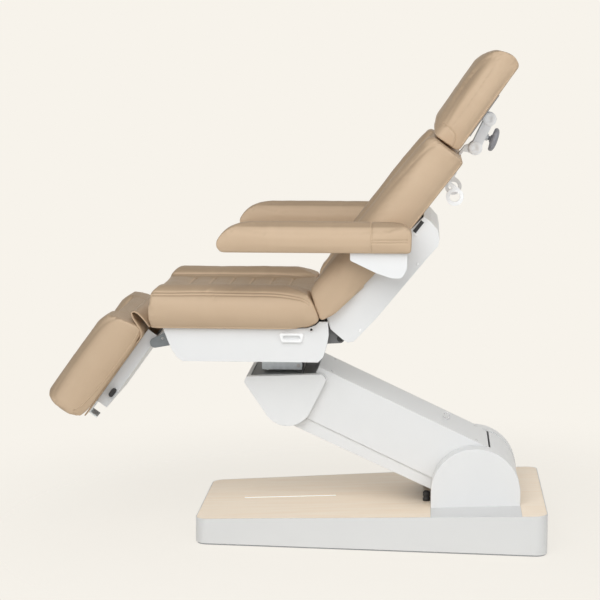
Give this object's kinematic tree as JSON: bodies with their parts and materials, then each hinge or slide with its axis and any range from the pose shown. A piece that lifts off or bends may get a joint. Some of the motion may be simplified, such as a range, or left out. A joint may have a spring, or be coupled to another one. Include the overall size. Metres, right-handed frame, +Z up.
{
  "type": "treatment chair",
  "caption": "Adjustable treatment chair on a wooden-topped plinth, with a lift arm, tilting seat, reclining back, swinging leg rest, armrests and headrest",
  "frame": {"origin": "on the floor, under the middle of the plinth", "axes": "+Z up, +X towards the head end, -Y the near side; at rest the back is raised and the leg rest lowered"},
  "size_m": [1.4929, 0.796, 1.4737],
  "materials": {
    "base_chassis": "powder coated",
    "hub_shafts": "ground",
    "plinth_shell": "satin paint",
    "plinth_board_foot": "satin lacquer",
    "plinth_board_head": "satin lacquer",
    "light_strip": "frosted",
    "power_inlet": "moulded",
    "control_box": "moulded",
    "hub_cap_near": "smooth",
    "hub_cap_far": "smooth",
    "arm_buffers": "matt",
    "lift_drive": "smooth",
    "lift_rod": "ground",
    "lift_arm_frame": "powder coated",
    "lift_arm_cover": "smooth",
    "arm_cover_screws": "bright",
    "cable_loop": "bright",
    "lower_link_frame": "powder coated",
    "lower_link_cover": "smooth",
    "carrier_block": "powder coated",
    "carrier_cover": "smooth",
    "carrier_pins": "ground",
    "tilt_drive": "smooth",
    "tilt_rod": "ground",
    "tilt_plate": "zinc plated",
    "seat_frame": "powder coated",
    "seat_undercover": "smooth",
    "seat_cushion": "upholstery",
    "strap_loops": "moulded",
    "socket_eyelets": "bright",
    "back_hinge_plates": "powder coated",
    "back_hinge_pins": "smooth",
    "leg_hinge_brackets": "powder coated",
    "leg_drive": "smooth",
    "gap_flap": "soft",
    "leg_rod": "ground",
    "back_frame": "powder coated",
    "back_shell": "smooth",
    "back_cushion": "upholstery",
    "shell_screws": "bright",
    "side_tag": "smooth",
    "grab_rings": "moulded",
    "recline_drive": "smooth",
    "recline_rod": "ground",
    "level_rod": "smooth",
    "arm_shaft": "ground",
    "arm_bracket_near": "smooth",
    "arm_pad_near": "upholstery",
    "arm_bracket_far": "smooth",
    "arm_pad_far": "upholstery",
    "leg_frame": "powder coated",
    "leg_board": "plywood",
    "leg_end_bracket": "powder coated",
    "leg_cushion": "upholstery",
    "leg_latch": "moulded",
    "head_post": "brushed",
    "head_link": "powder coated",
    "head_plate": "powder coated",
    "head_cushion": "upholstery",
    "handwheel": "moulded"
  },
  "bodies": {
    "base": {"base_chassis": "base_chassis", "hub_shafts": "hub_shafts", "plinth_shell": "plinth_shell", "plinth_board_foot": "plinth_board_foot", "plinth_board_head": "plinth_board_head", "light_strip": "light_strip", "power_inlet": "power_inlet", "control_box": "control_box", "hub_cap_near": "hub_cap_near", "hub_cap_far": "hub_cap_far", "arm_buffers": "arm_buffers", "lift_drive": "lift_drive"},
    "lift_rod": {"lift_rod": "lift_rod"},
    "lift_arm": {"lift_arm_frame": "lift_arm_frame", "lift_arm_cover": "lift_arm_cover", "arm_cover_screws": "arm_cover_screws", "cable_loop": "cable_loop"},
    "lift_link": {"lower_link_frame": "lower_link_frame", "lower_link_cover": "lower_link_cover"},
    "carrier": {"carrier_block": "carrier_block", "carrier_cover": "carrier_cover", "carrier_pins": "carrier_pins", "tilt_drive": "tilt_drive"},
    "tilt_rod": {"tilt_rod": "tilt_rod"},
    "seat": {"tilt_plate": "tilt_plate", "seat_frame": "seat_frame", "seat_undercover": "seat_undercover", "seat_cushion": "seat_cushion", "strap_loops": "strap_loops", "socket_eyelets": "socket_eyelets", "back_hinge_plates": "back_hinge_plates", "back_hinge_pins": "back_hinge_pins", "leg_hinge_brackets": "leg_hinge_brackets", "leg_drive": "leg_drive", "gap_flap": "gap_flap"},
    "leg_rod": {"leg_rod": "leg_rod"},
    "back": {"back_frame": "back_frame", "back_shell": "back_shell", "back_cushion": "back_cushion", "shell_screws": "shell_screws", "side_tag": "side_tag", "grab_rings": "grab_rings", "recline_drive": "recline_drive"},
    "recline_rod": {"recline_rod": "recline_rod"},
    "level_rod": {"level_rod": "level_rod"},
    "arm_shaft": {"arm_shaft": "arm_shaft"},
    "arm_near": {"arm_bracket_near": "arm_bracket_near", "arm_pad_near": "arm_pad_near"},
    "arm_far": {"arm_bracket_far": "arm_bracket_far", "arm_pad_far": "arm_pad_far"},
    "leg_frame": {"leg_frame": "leg_frame"},
    "leg_carriage": {"leg_board": "leg_board", "leg_end_bracket": "leg_end_bracket", "leg_cushion": "leg_cushion"},
    "leg_latch": {"leg_latch": "leg_latch"},
    "head_post": {"head_post": "head_post"},
    "head_link": {"head_link": "head_link"},
    "headrest": {"head_plate": "head_plate", "head_cushion": "head_cushion"},
    "head_knob": {"handwheel": "handwheel"}
  },
  "joints": [
    {"name": "lift", "type": "hinge", "parent": "base", "child": "lift_arm", "pos_m": [0.315, 0, 0.155], "axis": [0, 1, 0], "range_deg": [-15, 19]},
    {"name": "link_turn", "type": "hinge", "parent": "base", "child": "lift_link", "pos_m": [0.315, 0, 0.107], "axis": [0, 1, 0], "range_deg": [-15, 19]},
    {"name": "carrier_turn", "type": "hinge", "parent": "lift_arm", "child": "carrier", "pos_m": [-0.25287, 0, 0.42222], "axis": [0, 1, 0], "range_deg": [-19, 15]},
    {"name": "lift_drive_slide", "type": "slide", "parent": "base", "child": "lift_rod", "axis": [1, 0, 0], "range_m": [-0.0295, 0.0235]},
    {"name": "seat_tilt", "type": "hinge", "parent": "carrier", "child": "seat", "pos_m": [-0.22687, 0, 0.51122], "axis": [0, 1, 0], "range_deg": [0, 12]},
    {"name": "tilt_drive_slide", "type": "slide", "parent": "carrier", "child": "tilt_rod", "axis": [0, 0, 1], "range_m": [0, 0.0205]},
    {"name": "back_recline", "type": "hinge", "parent": "seat", "child": "back", "pos_m": [-0.09187, 0, 0.62322], "axis": [0, 1, 0], "range_deg": [0, 47]},
    {"name": "recline_drive_slide", "type": "slide", "parent": "back", "child": "recline_rod", "axis": [0.6115, 0, 0.7912], "range_m": [-0.0196, 0]},
    {"name": "level_rod_turn", "type": "hinge", "parent": "seat", "child": "level_rod", "pos_m": [-0.11086, 0, 0.6379], "axis": [0, 1, 0], "range_deg": [0, 47]},
    {"name": "arm_shaft_turn", "type": "hinge", "parent": "back", "child": "arm_shaft", "pos_m": [0.08016, 0, 0.85021], "axis": [0, 1, 0], "range_deg": [-47, 0]},
    {"name": "arm_near_swing", "type": "hinge", "parent": "arm_shaft", "child": "arm_near", "pos_m": [0.08016, 0, 0.85021], "axis": [0, 1, 0], "range_deg": [0, 75]},
    {"name": "arm_far_swing", "type": "hinge", "parent": "arm_shaft", "child": "arm_far", "pos_m": [0.08016, 0, 0.85021], "axis": [0, 1, 0], "range_deg": [0, 75]},
    {"name": "leg_swing", "type": "hinge", "parent": "seat", "child": "leg_frame", "pos_m": [-0.64687, 0, 0.60322], "axis": [0, 1, 0], "range_deg": [-20, 50]},
    {"name": "leg_drive_slide", "type": "slide", "parent": "seat", "child": "leg_rod", "axis": [1, 0, 0], "range_m": [-0.0202, 0.0084]},
    {"name": "leg_extend", "type": "slide", "parent": "leg_frame", "child": "leg_carriage", "axis": [-0.585, 0, -0.8111], "range_m": [-0.0241, 0.0601]},
    {"name": "latch_turn", "type": "hinge", "parent": "leg_frame", "child": "leg_latch", "pos_m": [-0.77684, 0, 0.45037], "axis": [0, 1, 0], "range_deg": [0, 25]},
    {"name": "head_post_slide", "type": "slide", "parent": "back", "child": "head_post", "axis": [0.6115, 0, 0.7912], "range_m": [0, 0.1]},
    {"name": "head_link_turn", "type": "hinge", "parent": "head_post", "child": "head_link", "pos_m": [0.30511, 0, 1.17823], "axis": [0, 1, 0], "range_deg": [0, 35]},
    {"name": "headrest_turn", "type": "hinge", "parent": "head_link", "child": "headrest", "pos_m": [0.34711, 0, 1.26523], "axis": [0, 1, 0], "range_deg": [0, 25]},
    {"name": "knob_turn", "type": "hinge", "parent": "head_link", "child": "head_knob", "pos_m": [0.32317, 0, 1.21563], "axis": [0.9455, 0, -0.3256], "range_deg": [0, 180]}
  ],
  "couplings": [
    {"joint": "link_turn", "follows": "lift", "ratio": 1},
    {"joint": "carrier_turn", "follows": "lift", "ratio": -1},
    {"joint": "lift_drive_slide", "follows": "lift", "m_per_rad": -0.086715},
    {"joint": "tilt_drive_slide", "follows": "seat_tilt", "m_per_rad": 0.095825},
    {"joint": "recline_drive_slide", "follows": "back_recline", "m_per_rad": -0.023333},
    {"joint": "level_rod_turn", "follows": "back_recline", "ratio": 1},
    {"joint": "arm_shaft_turn", "follows": "back_recline", "ratio": -1},
    {"joint": "leg_drive_slide", "follows": "leg_swing", "m_per_rad": -0.022535},
    {"joint": "leg_extend", "follows": "leg_swing", "m_per_rad": 0.068755}
  ]
}
